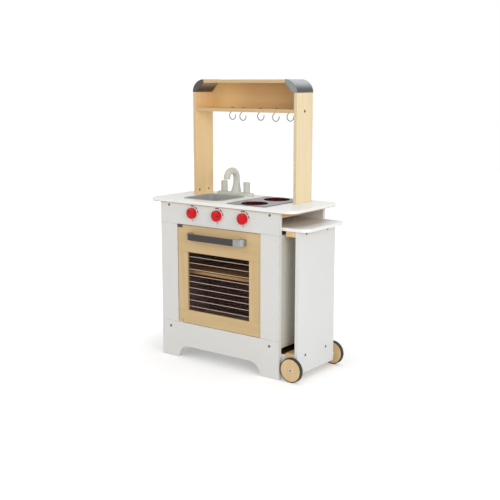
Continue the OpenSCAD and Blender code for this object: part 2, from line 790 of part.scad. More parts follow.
// A domed knob with a small finger dot, snapped into the top rail
module knob(i) color("#cd1923") placed() translate([knob_x[i], 0, knob_z]) {
    r = knob_d / 2;
    edge = 3;
    dome = 70;
    difference() {
        intersection() {
            translate([0, -skin_gap, 0]) rotate([90, 0, 0]) rotate_extrude() {
                square([r - edge, knob_out - skin_gap]);
                square([r, knob_out - skin_gap - edge]);
                translate([r - edge, knob_out - skin_gap - edge]) circle(edge);
            }
            translate([0, dome - knob_out, 0]) sphere(dome, $fn = 128);
        }
        rotate([0, -knob_dot[i], 0]) rod_y([r * 0.55, -knob_out - through, 0], 2, through + 2.2);
    }
    translate([0, -skin_gap - 0.01, 0]) snap_stem(panel_t);
}

// ---------------------------------------------------------------- door

// Round eye about the hinge line that both the door's edge and its notches follow
module hinge_eye(r, z, h) rod_z([pin_x, pin_y, z], r, h);

// A birch board of the door with a round left edge about the hinge line
module round_edged(z0, z1) {
    board([pin_x, 0, z0], [door_x1, door_t, z1]);
    intersection() {
        hinge_eye(pin_inset, z0, z1 - z0);
        board([door_x0 - through, 0, z0], [pin_x + through, door_t, z1]);
    }
}

// Rebate for the pane, cut from the back
module pane_rebate()
    board([door_x0 + door_stile_w - rebate_w, door_t - pane_t - 1, window_z0 - rebate_w],
          [door_x1 - door_stile_w + rebate_w, door_t + through, window_z1 + rebate_w]);

module door_top_rail() color(birch) placed() difference() {
    round_edged(window_z1, door_top);
    board([door_x0 - through, -through, door_z1 - block_h - notch_gap],
          [pin_x + block_r + notch_gap, door_t + through, door_z1]);
    hinge_eye(pin_r + run_gap, door_z1 - pin_l - 0.5, pin_l + 1);
    pane_rebate();
    at_handle_screws() handle_screw(bolt_gap);
}

module door_bottom_rail() color(birch) placed() difference() {
    round_edged(door_bottom, window_z0);
    board([door_x0 - through, -through, door_z0],
          [pin_x + block_r + notch_gap, door_t + through, door_z0 + block_h + skin_gap]);
    hinge_eye(pin_r + run_gap, door_z0, pin_l + 0.5);
    pane_rebate();
}

module door_left_stile() color(birch) placed() difference() {
    intersection() {
        round_edged(window_z0, window_z1);
        board([door_x0 - through, 0, window_z0], [door_x0 + door_stile_w, door_t, window_z1]);
    }
    pane_rebate();
}

module door_right_stile() color(birch) placed() difference() {
    board([door_x1 - door_stile_w, 0, window_z0], [door_x1, door_t, window_z1]);
    pane_rebate();
}

module door_window() color([0.1, 0.08, 0.08, 0.6]) placed()
    board([door_x0 + door_stile_w - rebate_w + 0.2, door_t - pane_t - 1, window_z0 - rebate_w + 0.2],
          [door_x1 - door_stile_w + rebate_w - 0.2, door_t - 1, window_z1 + rebate_w - 0.2]);

// Outline of the bow, seen from above: reach is how far it stands out of the door
module bow_outline(w, reach, r) {
    translate([r, -reach]) square([w - 2 * r, reach]);
    intersection() {
        translate([0, r - reach]) union() {
            for (x = [r, w - r]) translate([x, 0]) circle(r);
            square([w, reach]);
        }
        translate([0, -reach]) square([w, reach]);
    }
}

// The grip strip wraps round the left end of the bow and ends before its right end. Its
// outline is the bow's, less the bow drawn smaller by the strip's thickness.
grip_t = 1.6;
grip_foot = 6;       // from the strip's left end to the door
grip_w = handle_w - grip_end;
module grip_zone(extra) difference() {
    translate([-extra, -handle_out - extra]) square([grip_w + extra, handle_out - grip_foot + extra]);
    translate([grip_t, 0]) bow_outline(handle_w - 2 * grip_t, handle_out - grip_t, handle_r - grip_t);
}

// Two screws come through the door from behind into the feet of the bow. With a gap they
// are the screws' holes.
handle_screw_head = 2;
handle_screw_grip = 10;
module at_handle_screws() for (x = [handle_x0 + handle_t, handle_x0 + handle_w - handle_t])
    translate([x, door_t, handle_z + handle_h / 2]) rotate([90, 0, 0]) children();
module handle_screw(gap)
    translate([0, 0, -skin_gap])
        cylinder(r = handle_screw_d / 2 + gap, h = skin_gap + door_t + handle_screw_grip + gap);
module handle_screws() color("silver") placed() at_handle_screws() {
    handle_screw(0);
    translate([0, 0, -handle_screw_head]) cylinder(r = handle_screw_d, h = handle_screw_head);
}

module door_handle() color("#b8babc") placed() difference() {
    translate([handle_x0, 0, handle_z]) linear_extrude(handle_h) difference() {
        bow_outline(handle_w, handle_out, handle_r);
        translate([2 * handle_t, 0]) bow_outline(handle_w - 4 * handle_t, handle_out - handle_t,
                                                 handle_r - handle_t);
    }
    translate([handle_x0, 0, handle_z - through]) linear_extrude(handle_h + 2 * through) grip_zone(through);
    at_handle_screws() handle_screw(bolt_gap);
}

module handle_grip() color("#555052") placed()
    translate([handle_x0, 0, handle_z]) linear_extrude(handle_h) intersection() {
        bow_outline(handle_w, handle_out, handle_r);
        grip_zone(0);
    }

// The blocks are round towards the door, so that the door's notch turns about them
module hinge_block(z) difference() {
    union() {
        board([stile_w, 0, z], [pin_x, door_t, z + block_h]);
        intersection() {
            hinge_eye(block_r, z, block_h);
            board([pin_x - through, 0, z], [pin_x + block_r + through, door_t, z + block_h]);
        }
    }
    hinge_eye(pin_r + run_gap, z - through, block_h + 2 * through);
}

module hinge_block_top() color("#4a3326") placed() hinge_block(door_z1 - block_h);
module hinge_block_bottom() color(birch) placed() hinge_block(door_z0);

module hinge_pins() color("silver") placed() {
    hinge_eye(pin_r, door_z0, pin_l);
    hinge_eye(pin_r, door_z1 - pin_l, pin_l);
}

// Magnetic catch behind the right stile; its nose stops just behind the closed door
catch_z = (window_z0 + window_z1) / 2 - catch_h / 2;
catch_body_l = 11;
catch_reach = 12;    // of the nose behind the door
catch_base = 18;     // of the base behind the stile
module magnet_catch() color("#3b3a3a") placed() translate([cabinet_w - stile_w, 0, catch_z]) {
    board([-catch_reach, door_t + skin_gap, 0], [-door_gap, panel_t + catch_body_l, catch_h]);
    board([-door_gap - through, panel_t, 0], [catch_base, panel_t + catch_body_l, catch_h]);
}

// ---------------------------------------------------------------- trolley

module trolley_top() color(white) placed()
    translate([trolley_x0, trolley_y0, trolley_top_z]) linear_extrude(trolley_t)
        round_rect(trolley_x1 + trolley_over - trolley_x0, trolley_y1 - trolley_y0, trolley_r);

module trolley_side() color(white) placed() difference() {
    board([trolley_in, side_y0, trolley_foot_z], [trolley_x1, side_back_y, trolley_top_z]);
    at_trolley_bolts([lower_bolt_z, upper_bolt_z]) bolt_hole(trolley_bolt_l);
}

module at_trolley_bolts(zs) for (y = trolley_bolt_y, z = zs)
    translate([trolley_x1, y, z]) rotate([0, 0, 90]) children();

module trolley_shelf() color(white) placed()
    board([trolley_x0, trolley_y0, trolley_shelf_z],
          [trolley_in - lower_batten_w, trolley_y1, trolley_shelf_z + trolley_t]);

// A sledge-like leg carries the inner end of the shelf
module trolley_inner_leg() color(white) placed()
    translate([trolley_x0, 0, 0]) rotate([0, 0, 90]) xz_plate(-trolley_t, trolley_t)
        translate([trolley_y0, 0]) difference() {
            square([trolley_y1 - trolley_y0, trolley_shelf_z]);
            arch(trolley_y1 - trolley_y0, leg_arch_h, leg_foot_w, leg_foot_r);
        }

module trolley_battens() color(birch) placed() difference() {
    edge = 5;
    union() {
        board([trolley_in - upper_batten_w, side_y0, trolley_top_z - upper_batten_h + edge],
              [trolley_in, side_y1, trolley_top_z]);
        board([trolley_in - upper_batten_w + edge, side_y0, trolley_top_z - upper_batten_h],
              [trolley_in, side_y1, trolley_top_z]);
        rod_y([trolley_in - upper_batten_w + edge, side_y0, trolley_top_z - upper_batten_h + edge],
              edge, side_l);
        board([trolley_in - lower_batten_w, side_y0, lower_batten_z],
              [trolley_in, side_y1, lower_batten_top]);
    }
    at_trolley_bolts([lower_bolt_z, upper_bolt_z]) bolt_hole(trolley_bolt_l);
    for (y = [side_y0 - through, side_y1 - axle_grip - 1])
        rod_y([wheel_x, y, wheel_r], axle_r + bolt_gap, axle_grip + 1 + through);
}

module trolley_bolts() color("dimgray") placed() {
    at_trolley_bolts([lower_bolt_z, upper_bolt_z])
        translate([0, bolt_sink, 0]) bolt(trolley_bolt_l);
    at_wheels() wheel_screw();
}

// ---------------------------------------------------------------- wheels

// Places its children at both wheels with y = 0 at the wheel's outer face and +y
// towards the trolley
module at_wheels() {
    translate([wheel_x, front_wheel_y, wheel_r]) children();
    translate([wheel_x, rear_wheel_y + wheel_w, wheel_r]) rotate([0, 0, 180]) children();
}

head_l = 2;
head_sink = 0.4;     // the wheel screw's head lies this far inside the bushing
module wheel_screw() {
    translate([0, head_sink, 0]) difference() {
        rod_y([0, 0, 0], axle_r + 1, head_l);
        rod_y([0, -through, 0], axle_r / 2, through + head_l / 2, $fn = 6);
    }
    rod_y([0, head_sink + head_l, 0], axle_r, wheel_w + wheel_side_gap - head_sink - head_l + axle_grip);
}

// The bushing is a sleeve through the wheel with a collar against the batten
bushing_collar = 3;
module bushing() difference() {
    union() {
        rod_y([0, 0, 0], bushing_r, wheel_w + wheel_side_gap);
        rod_y([0, wheel_w + skin_gap, 0], bushing_r + bushing_collar, wheel_side_gap - skin_gap);
    }
    rod_y([0, -through, 0], axle_r + 1 + bolt_gap, through + head_sink + head_l);
    rod_y([0, 0, 0], axle_r + bolt_gap, wheel_w + wheel_side_gap + through);
}

module wheel_bushings() color("#e9e9e6") placed() at_wheels() bushing();

module wheel_disc(y) color(birch) placed() difference() {
    rod_y([wheel_x, y, wheel_r], disc_r, wheel_w);
    rod_y([wheel_x, y - through, wheel_r], bushing_r + run_gap, wheel_w + 2 * through);
}

module tyre(y) color("#2b2a29") placed() difference() {
    rod_y([wheel_x, y, wheel_r], wheel_r, wheel_w);
    rod_y([wheel_x, y - through, wheel_r], disc_r, wheel_w + 2 * through);
}

// ---------------------------------------------------------------- nodes

front_top_rail();
front_bottom_rail();
front_stile(0);  // front_left_stile
front_stile(cabinet_w - stile_w);  // front_right_stile
back_panel();
left_side_panel();
oven_right_wall();
oven_floor();
oven_top();
oven_shelf();
shelf_cleats();
cross_rail(left_x1, rail_w_left);  // left_cross_rail
cross_rail(right_x1 - rail_w_right, rail_w_right);  // right_cross_rail
cabinet_bolts();
worktop();
sink_basin();
hob_plate();
burner_discs();
tap_body();
tap_handle(-1);  // tap_handle_left
tap_handle(1);  // tap_handle_right
post(hood_x0, 1);  // left_post
post(hood_x1 - post_t, -1);  // right_post
hood_fasteners();
hood_top_board();
hood_back_board();
hood_shelf();
corner_cap(-1);  // corner_cap_left
corner_cap(1);  // corner_cap_right
hook(hook_x[0], hook_leg[0]);  // hook_1
hook(hook_x[1], hook_leg[1]);  // hook_2
hook(hook_x[2], hook_leg[2]);  // hook_3
hook(hook_x[3], hook_leg[3]);  // hook_4
hook(hook_x[4], hook_leg[4]);  // hook_5
knob(0);  // knob_left
knob(1);  // knob_middle
knob(2);  // knob_right
hinge_block_top();
hinge_block_bottom();
hinge_pins();
magnet_catch();
door_top_rail();
door_bottom_rail();
door_left_stile();
door_right_stile();
door_window();
door_handle();
handle_grip();
handle_screws();
trolley_top();
trolley_side();
trolley_shelf();
trolley_inner_leg();
trolley_battens();
trolley_bolts();
wheel_bushings();
wheel_disc(front_wheel_y);  // wheel_disc_front
tyre(front_wheel_y);  // tyre_front
wheel_disc(rear_wheel_y);  // wheel_disc_rear
tyre(rear_wheel_y);  // tyre_rear
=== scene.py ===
import json
import math

import bmesh
import bpy
from mathutils import Matrix, Vector


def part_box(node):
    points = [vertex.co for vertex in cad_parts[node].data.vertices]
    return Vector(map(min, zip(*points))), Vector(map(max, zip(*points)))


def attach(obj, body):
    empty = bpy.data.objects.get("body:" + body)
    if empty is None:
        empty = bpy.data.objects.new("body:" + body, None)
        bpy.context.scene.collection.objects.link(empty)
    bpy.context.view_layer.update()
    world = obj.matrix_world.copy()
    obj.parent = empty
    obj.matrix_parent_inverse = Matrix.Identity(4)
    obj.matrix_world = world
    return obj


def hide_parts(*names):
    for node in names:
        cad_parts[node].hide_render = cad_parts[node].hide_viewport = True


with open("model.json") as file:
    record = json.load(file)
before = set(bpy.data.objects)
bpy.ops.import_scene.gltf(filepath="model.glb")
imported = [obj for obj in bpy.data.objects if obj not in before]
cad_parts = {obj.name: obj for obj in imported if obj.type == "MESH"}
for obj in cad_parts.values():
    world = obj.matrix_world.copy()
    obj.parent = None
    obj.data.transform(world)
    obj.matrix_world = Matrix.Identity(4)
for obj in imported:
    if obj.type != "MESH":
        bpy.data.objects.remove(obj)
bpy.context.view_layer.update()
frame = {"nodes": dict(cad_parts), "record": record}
MM = 0.001

# ---------------------------------------------------------------- camera, floor and light
# The play kitchen stands on a plain white studio floor. The camera looks at it from its
# front right, from the height of the hood's top, and the light is soft from all sides.

camera_place, camera_yaw, camera_pitch = (1.9227, -2.5100, 0.9901), 37.106, -10.537
sensor_width, focal_length = 36, 65.02
camera = bpy.data.objects.new("camera", bpy.data.cameras.new("camera"))
camera.location = camera_place
camera.rotation_euler = (math.radians(90 + camera_pitch), 0, math.radians(camera_yaw))
camera.data.sensor_width, camera.data.lens = sensor_width, focal_length
bpy.context.scene.collection.objects.link(camera)
bpy.context.scene.camera = camera
bpy.context.scene.view_settings.view_transform = "Standard"


def linear(red, green, blue):
    """A colour given as it looks on screen, 0 to 255, as the linear colour that a shader takes."""
    parts = [c / 255 for c in (red, green, blue)]
    return tuple(c / 12.92 if c < 0.04045 else ((c + 0.055) / 1.055) ** 2.4 for c in parts) + (1,)


class Value:
    """A number that varies over a surface: a shader socket that takes part in Python sums."""

    def __init__(self, shader, socket):
        self.shader, self.socket = shader, socket

    def maths(self, operation, *others):
        sockets = dict(enumerate((self, *others)))
        return self.shader.node("ShaderNodeMath", {"operation": operation}, sockets)

    def __add__(self, other):
        return self.maths("ADD", other)

    def __sub__(self, other):
        return self.maths("SUBTRACT", other)

    def __mul__(self, other):
        return self.maths("MULTIPLY", other)

    def __truediv__(self, other):
        return self.maths("DIVIDE", other)

    def __rsub__(self, other):
        return self.maths("MULTIPLY", -1) + other

    def __rtruediv__(self, other):
        return self.maths("POWER", -1) * other

    def __lt__(self, other):
        return self.maths("LESS_THAN", other)

    def __gt__(self, other):
        return self.maths("GREATER_THAN", other)

    __radd__, __rmul__ = __add__, __mul__

    def __abs__(self):
        return self.maths("ABSOLUTE")

    def __pow__(self, other):
        return self.maths("POWER", other)

    def least(self, other):
        return self.maths("MINIMUM", other)

    def most(self, other):
        return self.maths("MAXIMUM", other)

    def rise(self, low, high):
        """0 below low, 1 above high, and a smooth rise between them."""
        sockets = {"Value": self, "From Min": low, "From Max": high}
        return self.shader.node("ShaderNodeMapRange", {"interpolation_type": "SMOOTHSTEP"}, sockets)


class Shader:
    """A node tree to which nodes are added by name."""

    def __init__(self, tree):
        self.tree = tree

    def node(self, kind, settings={}, sockets={}, output=0):
        """Adds any node: its settings first, then the values or links of its sockets."""
        made = self.tree.nodes.new(kind)
        for setting, value in settings.items():
            setattr(made, setting, value)
        for socket, value in sockets.items():
            if isinstance(value, Value):
                self.tree.links.new(value.socket, made.inputs[socket])
            else:
                made.inputs[socket].default_value = value
        return Value(self, made.outputs[output])


class Finish(Shader):
    """The node material of one finish. bsdf is its Principled shader."""

    def __init__(self, name, **constants):
        self.material = bpy.data.materials.new(name)
        self.material.use_nodes = True
        super().__init__(self.material.node_tree)
        self.bsdf = self.tree.nodes["Principled BSDF"]
        for socket, value in constants.items():
            self.bsdf.inputs[socket.replace("_", " ")].default_value = value
        self.point = self.node("ShaderNodeTexCoord", output="Object")
        self.x, self.y, self.z = (self.node("ShaderNodeSeparateXYZ", {}, {0: self.point}, output=i)
                                  for i in range(3))

    def noise(self, scale, detail=3, roughness=0.5, distortion=0):
        """Cloudy noise from 0 to 1. scale is its cells per metre, one number or one for each axis."""
        per_axis = (scale,) * 3 if isinstance(scale, (int, float)) else scale
        return self.node("ShaderNodeTexNoise", {}, {
            "Vector": self.node("ShaderNodeMapping", {}, {"Vector": self.point, "Scale": per_axis}),
            "Scale": 1, "Detail": detail, "Roughness": roughness, "Distortion": distortion})

    def mix(self, share, a, b):
        """Colour a where share is 0, and b where it is 1."""
        settings = {"data_type": "RGBA"}
        return self.node("ShaderNodeMix", settings, {0: share, 6: a, 7: b}, output=2)

    def bump(self, height, distance, strength=1):
        sockets = {"Height": height, "Distance": distance, "Strength": strength}
        return self.node("ShaderNodeBump", {}, sockets)

    def wear(self, **inputs):
        """Links what varies over the surface to the shader, and returns the material."""
        for socket, value in inputs.items():
            self.tree.links.new(value.socket, self.bsdf.inputs[socket.replace("_", " ")])
        return self.material


def seen_or_mirrored(shader):
    """1 for what the camera sees, straight or in gloss or glass, and 0 for the light on the object."""
    rays = [shader.node("ShaderNodeLightPath", output=ray)
            for ray in ("Is Camera Ray", "Is Glossy Ray", "Is Transmission Ray")]
    return rays[0].most(rays[1]).most(rays[2])


floor_size, floor_drop = 14, 0.3 * MM
floor_mesh = bmesh.new()
bmesh.ops.create_grid(floor_mesh, x_segments=1, y_segments=1, size=floor_size / 2,
                      matrix=Matrix.Translation((0, 0, -floor_drop)))
floor = bpy.data.objects.new("studio_floor", bpy.data.meshes.new("studio_floor"))
floor_mesh.to_mesh(floor.data)
bpy.context.scene.collection.objects.link(floor)

bounce, paper_grey = (0.9, 0.9, 0.9, 1), (0.86, 0.86, 0.86, 1)
glow_near, glow_far, fade_from, fade_to = 0.3, 0.75, 0.3, 0.9
white = (1, 1, 1, 1)
ground = Finish("studio floor", Base_Color=bounce, Roughness=1, Specular_IOR_Level=0)
paper = ground.node("ShaderNodeBsdfDiffuse", {}, {"Color": paper_grey}, "BSDF")
from_middle = (ground.x * ground.x + ground.y * ground.y) ** 0.5
glow_strength = from_middle.rise(fade_from, fade_to) * (glow_far - glow_near) + glow_near
glow = ground.node("ShaderNodeEmission", {}, {"Color": white, "Strength": glow_strength}, "Emission")
lit_paper = ground.node("ShaderNodeAddShader", {}, {0: paper, 1: glow})
shown = ground.node("ShaderNodeMixShader", {}, {
    0: seen_or_mirrored(ground), 1: Value(ground, ground.bsdf.outputs[0]), 2: lit_paper})
ground.tree.links.new(shown.socket, ground.tree.nodes["Material Output"].inputs["Surface"])
floor.data.materials.append(ground.material)

ambient = 0.5
world = bpy.context.scene.world or bpy.data.worlds.new("studio")
bpy.context.scene.world = world
world.use_nodes = True
sky_strength = seen_or_mirrored(Shader(world.node_tree)) * (1 - ambient) + ambient
background = world.node_tree.nodes["Background"]
background.inputs["Color"].default_value = white
world.node_tree.links.new(sky_strength.socket, background.inputs["Strength"])
lit_point = Vector((0, 0, 0.5))


def softbox(name, place, size, watts):
    """A square soft lamp that faces the middle of the object."""
    lamp = bpy.data.objects.new(name, bpy.data.lights.new(name, "AREA"))
    lamp.data.size, lamp.data.energy = size, watts
    lamp.location = place
    lamp.rotation_euler = (lit_point - Vector(place)).to_track_quat("-Z", "Y").to_euler()
    bpy.context.scene.collection.objects.link(lamp)


softbox("key_right", (3.5, -1.9, 1.5), size=2.0, watts=66)
softbox("fill_left", (-2.2, -3.2, 2.0), size=2.4, watts=30)
softbox("top", (0.3, 0.2, 3.2), size=2.0, watts=20)

# ---------------------------------------------------------------- white boards of the cabinet
# The cabinet's front frame, back, sides and the oven's top are boards of fibreboard with
# eased arrises, sprayed in satin white. The faces that look into the oven stay brown. They
# meet in butt joints that show as faint lines, and bolts hold them together.

nodes = frame["nodes"]
body_of = {node: body for body, held in frame["record"]["behaviour"]["bodies"].items() for node in held}
small_hole = 12 * MM
crease = math.radians(35)


def middle(node):
    """The middle of a node's box."""
    low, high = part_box(node)
    return (low + high) / 2


def finished(name, mesh, material, like, stands_for=()):
    """Makes a mesh a piece on the body of the node that it is like, and gives it its finish."""
    piece = bpy.data.objects.new(name, bpy.data.meshes.new(name))
    mesh.to_mesh(piece.data)
    mesh.free()
    piece.data.materials.append(material)
    bpy.context.scene.collection.objects.link(piece)
    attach(piece, body_of[like])
    if stands_for:
        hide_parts(*stands_for)
    return piece


def shade(mesh):
    """Smooth shading that breaks where two faces meet at a sharp angle."""
    for face in mesh.faces:
        face.smooth = True
    for edge in mesh.edges:
        edge.smooth = len(edge.link_faces) == 2 and edge.calc_face_angle(0) < crease


def sharp_groups(mesh):
    """The sharp edges, in groups that hang together."""
    left = {e for e in mesh.edges if len(e.link_faces) == 2 and e.calc_face_angle(0) > crease}
    groups = []
    while left:
        group, ahead = [], [left.pop()]
        while ahead:
            edge = ahead.pop()
            group.append(edge)
            near = {e for v in edge.verts for e in v.link_edges} & left
            left -= near
            ahead += near
        groups.append(group)
    return groups


def eased(node, material, radius, segments=2):
    """The node's own shape as a new piece in its place, with its arrises rounded, apart from
    those round a small hole."""
    mesh = bmesh.new()
    mesh.from_mesh(nodes[node].data)
    bmesh.ops.remove_doubles(mesh, verts=mesh.verts, dist=0.002 * MM)
    bmesh.ops.dissolve_limit(mesh, angle_limit=0.001, verts=mesh.verts, edges=mesh.edges)
    arrises = []
    for group in sharp_groups(mesh):
        corners = [v.co for e in group for v in e.verts]
        spans = [max(c[i] for c in corners) - min(c[i] for c in corners) for i in range(3)]
        if max(spans) > small_hole:
            arrises += group
    if radius:
        bmesh.ops.bevel(mesh, geom=arrises, offset=radius, offset_type="OFFSET", affect="EDGES",
                        segments=segments, profile=0.5, material=-1, clamp_overlap=True)
    shade(mesh)
    piece = finished(node + "_dressed", mesh, material, node, [node])
    piece.modifiers.new("even shading", "WEIGHTED_NORMAL").keep_sharp = True
    return piece


def arris(finish, node, width):
    """1 along the edges of a board's box, fading out over a width, and 0 on its faces. A
    point on an edge is near to two of the box's faces at once."""
    low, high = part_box(node)
    near = [(axis - low[i]).least(high[i] - axis).rise(width, 0)
            for i, axis in enumerate((finish.x, finish.y, finish.z))]
    return (near[0] * near[1]).most(near[1] * near[2]).most(near[2] * near[0])


board_white, bare_board = (226, 225, 221), (178, 160, 134)


def painted(node, paint=board_white, print_on=None):
    """Satin white spray paint: faint orange peel, and arrises where the board shows through.
    print_on takes the finish and the paint's colour, and gives the colour with its print."""
    finish = Finish("white paint " + node, Specular_IOR_Level=0.3)
    cloud = finish.noise(9, detail=4)
    peel = finish.noise(900, detail=1)
    rub = arris(finish, node, 1.6 * MM) * finish.noise(60, detail=4).rise(0.3, 0.6)
    base = finish.mix(cloud * 0.5, linear(*paint), linear(*(c - 7 for c in paint)))
    colour = finish.mix(rub * 0.5, base, linear(*bare_board))
    colour = print_on(finish, colour) if print_on else colour
    return finish.wear(Base_Color=colour, Roughness=cloud * 0.12 + 0.4 + rub * 0.2,
                       Normal=finish.bump(peel, 0.02 * MM, 0.5))


face_depth = 0.3 * MM
board_arris = 0.9 * MM


def brown_inside(finish, paint):
    """The faces that look into the oven are left as the brown face of the board."""
    inside = 1
    for axis, low, high in ((finish.x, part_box("left_side_panel")[1].x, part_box("oven_right_wall")[0].x),
                            (finish.y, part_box("front_left_stile")[1].y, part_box("back_panel")[0].y),
                            (finish.z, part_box("oven_floor")[1].z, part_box("oven_top")[0].z)):
        inside = (axis > low - face_depth) * (axis < high + face_depth) * inside
    fibre = finish.mix(finish.noise(160, detail=4), linear(154, 120, 106), linear(134, 102, 91))
    return finish.mix(inside, paint, fibre)


for board in ("front_bottom_rail", "front_left_stile", "front_right_stile",
              "back_panel", "left_side_panel", "oven_top"):
    eased(board, painted(board, print_on=brown_inside), board_arris)
# The oven's right wall is painted a darker, warmer white than the other boards: painted shade from the
# trolley beside it.
white_with_painted_shade = (210, 206, 194)
eased("oven_right_wall", painted("oven_right_wall", white_with_painted_shade, brown_inside), board_arris)

# ---------------------------------------------------------------- birch boards inside the cabinet
# The oven's floor, shelf and cleats and the two cross rails are birch, cut from plywood or
# solid strips and lacquered clear. The edges of the plywood show its layers.

ply = 1.4 * MM


def birch(node, grain, thin=None, face=(222, 192, 140), streak=(205, 168, 112), depth=1.0, painted_light_end=0):
    """Clear-lacquered birch. grain is the axis that it runs along, and thin the axis of the
    plywood's thickness, whose layers show on the edges. depth is how strong the figure is,
    and painted_light_end how much of the left end is painted paler, as painted light."""
    low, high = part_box(node)
    finish = Finish("birch " + node, Specular_IOR_Level=0.35)

    def along(length, across):
        """Cells per metre along the grain and across it, as a scale for noise."""
        return tuple(length if i == grain else across for i in range(3))

    warp = finish.noise(along(2.5, 16), detail=2)
    rings = finish.noise(along(1.6, 34), detail=3, roughness=0.6, distortion=0.6)
    fibre = finish.noise(along(14, 900), detail=2, roughness=0.7)
    fleck = finish.noise(along(55, 1500), detail=1).rise(0.66, 0.78)
    figure = (rings.rise(0.3, 0.72) * 0.55 + warp * 0.35 + fibre * 0.22) * depth
    colour = finish.mix(figure, linear(*face), linear(*streak))
    colour = finish.mix(fleck * 0.22 * depth, colour, linear(*(c * 0.72 for c in streak)))
    if painted_light_end:
        share = ((finish.x - low.x) / (high.x - low.x)).rise(painted_light_end, 0)
        colour = finish.mix(share, colour, linear(*(min(c * 1.17, 250) for c in face)))
    if thin is not None:
        axis = (finish.x, finish.y, finish.z)[thin]
        inside = (axis - low[thin]).least(high[thin] - axis).rise(0.25 * MM, 0.5 * MM)
        layers = ((axis - low[thin]) / (2 * ply)).maths("PINGPONG", 0.5).rise(0.2, 0.3)
        wavy = finish.noise(700, detail=2)
        edge = finish.mix(layers * 0.75 + wavy * 0.25, linear(*(c * 0.97 for c in face)),
                          linear(*(c * 0.86 for c in streak)))
        colour = finish.mix(inside, colour, edge)
    rub = arris(finish, node, 1.5 * MM)
    colour = finish.mix(rub * 0.25, colour, linear(176, 138, 88))
    return finish.wear(Base_Color=colour, Roughness=fibre * 0.15 + 0.42,
                       Normal=finish.bump(fibre + rings * 0.5, 0.03 * MM, 0.6))


ply_arris = 0.6 * MM
# The oven's floor is painted paler than the other birch: painted light, where light falls in through the
# window.
eased("oven_floor", birch("oven_floor", 0, 2, (236, 220, 196), (222, 204, 176)), ply_arris)
eased("oven_shelf", birch("oven_shelf", 0, 2, (240, 186, 114), (226, 164, 92)), ply_arris)
for strip in ("left_cross_rail", "right_cross_rail", "shelf_cleats"):
    eased(strip, birch(strip, 1), 0.8 * MM)

# ---------------------------------------------------------------- bolts and dowels
# Socket-head bolts of blackened steel hold the frame together. Their heads lie just under
# the faces. Round cross dowels in the posts take the bolts that come up from below.


def steel(name, colour, roughness=0.34):
    """Turned steel with fine marks and a thin film of oil."""
    finish = Finish("steel " + name, Metallic=1)
    marks = finish.noise(2500, detail=2)
    film = finish.noise(260, detail=3)
    base = finish.mix(film * 0.6, linear(*colour), linear(*(c * 0.72 for c in colour)))
    return finish.wear(Base_Color=base, Roughness=(marks - 0.5) * 0.12 + roughness,
                       Normal=finish.bump(marks, 0.01 * MM, 0.4))


dark_steel = steel("bolts", (112, 113, 115))
for bolts in ("cabinet_bolts", "hood_fasteners", "trolley_bolts"):
    eased(bolts, dark_steel, 0)

# ---------------------------------------------------------------- worktop
# A fibreboard top with round corners and well rounded edges, sprayed in a brighter satin
# white. Its underside is left bare, which shows below the overhang at the right.


def worktop_finish(node, bare_height):
    """Bright satin lacquer over a board that stays bare up to a height above its underside."""
    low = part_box(node)[0]
    finish = Finish("worktop lacquer " + node, Specular_IOR_Level=0.5)
    cloud = finish.noise(7, detail=4)
    scuffs = finish.noise((60, 900, 300), detail=3).rise(0.62, 0.75)
    blur = 0.4 * MM
    bare = (finish.z - low.z).rise(bare_height + blur, bare_height - blur)
    base = finish.mix(cloud * 0.4, linear(243, 243, 241), linear(239, 239, 236))
    fibre = finish.mix(finish.noise(500, detail=3), linear(206, 176, 130), linear(176, 142, 98))
    return finish.wear(Base_Color=finish.mix(bare, base, fibre),
                       Roughness=cloud * 0.08 + 0.34 + scuffs * 0.05 + bare * 0.3,
                       Normal=finish.bump(finish.noise(800, detail=1), 0.015 * MM, 0.5))


eased("worktop", worktop_finish("worktop", 2.2 * MM), 2.6 * MM, segments=3)

# ---------------------------------------------------------------- sink
# The sink is one pressed and sprayed grey bowl: a flat rim with a rolled edge lies on the
# worktop, and the walls lean in to a bottom with wide round corners and a drain.

sink_low, sink_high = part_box("sink_basin")
rim_width, sink_corner, sink_wall, rim_thick = 9 * MM, 30 * MM, 1.6 * MM, 1.5 * MM
sheet = 0.8 * MM


def round_plate(low, high, z, corner, steps=10):
    """One flat face with round corners, at the height z."""
    mesh = bmesh.new()
    bmesh.ops.create_grid(mesh, x_segments=1, y_segments=1, size=0.5)
    bmesh.ops.scale(mesh, vec=(high.x - low.x, high.y - low.y, 1), verts=mesh.verts)
    bmesh.ops.translate(mesh, vec=((low.x + high.x) / 2, (low.y + high.y) / 2, z), verts=mesh.verts)
    bmesh.ops.bevel(mesh, geom=mesh.verts, offset=corner, offset_type="OFFSET", affect="VERTICES",
                    segments=steps, profile=0.5, material=-1)
    return mesh


def stepped_in(mesh, steps):
    """Insets the one face of a plate again and again, by (inwards, up) for each step."""
    face = max(mesh.faces, key=lambda f: f.calc_area())
    for inwards, up in steps:
        bmesh.ops.inset_region(mesh, faces=[face], thickness=inwards, depth=up, use_boundary=True,
                               use_even_offset=True)


def smooth_sprayed(name, colour, roughness=0.4, speckle=0.5, **constants):
    """An even coat on metal or plastic with a little cloudiness and very fine texture."""
    finish = Finish("coat " + name, **constants)
    cloud = finish.noise(30, detail=3)
    grain = finish.noise(1400, detail=2)
    base = finish.mix(cloud * 0.6, linear(*colour), linear(*(c * 0.94 for c in colour)))
    return finish.wear(Base_Color=base, Roughness=cloud * 0.1 + roughness,
                       Normal=finish.bump(grain, 0.02 * MM, speckle))


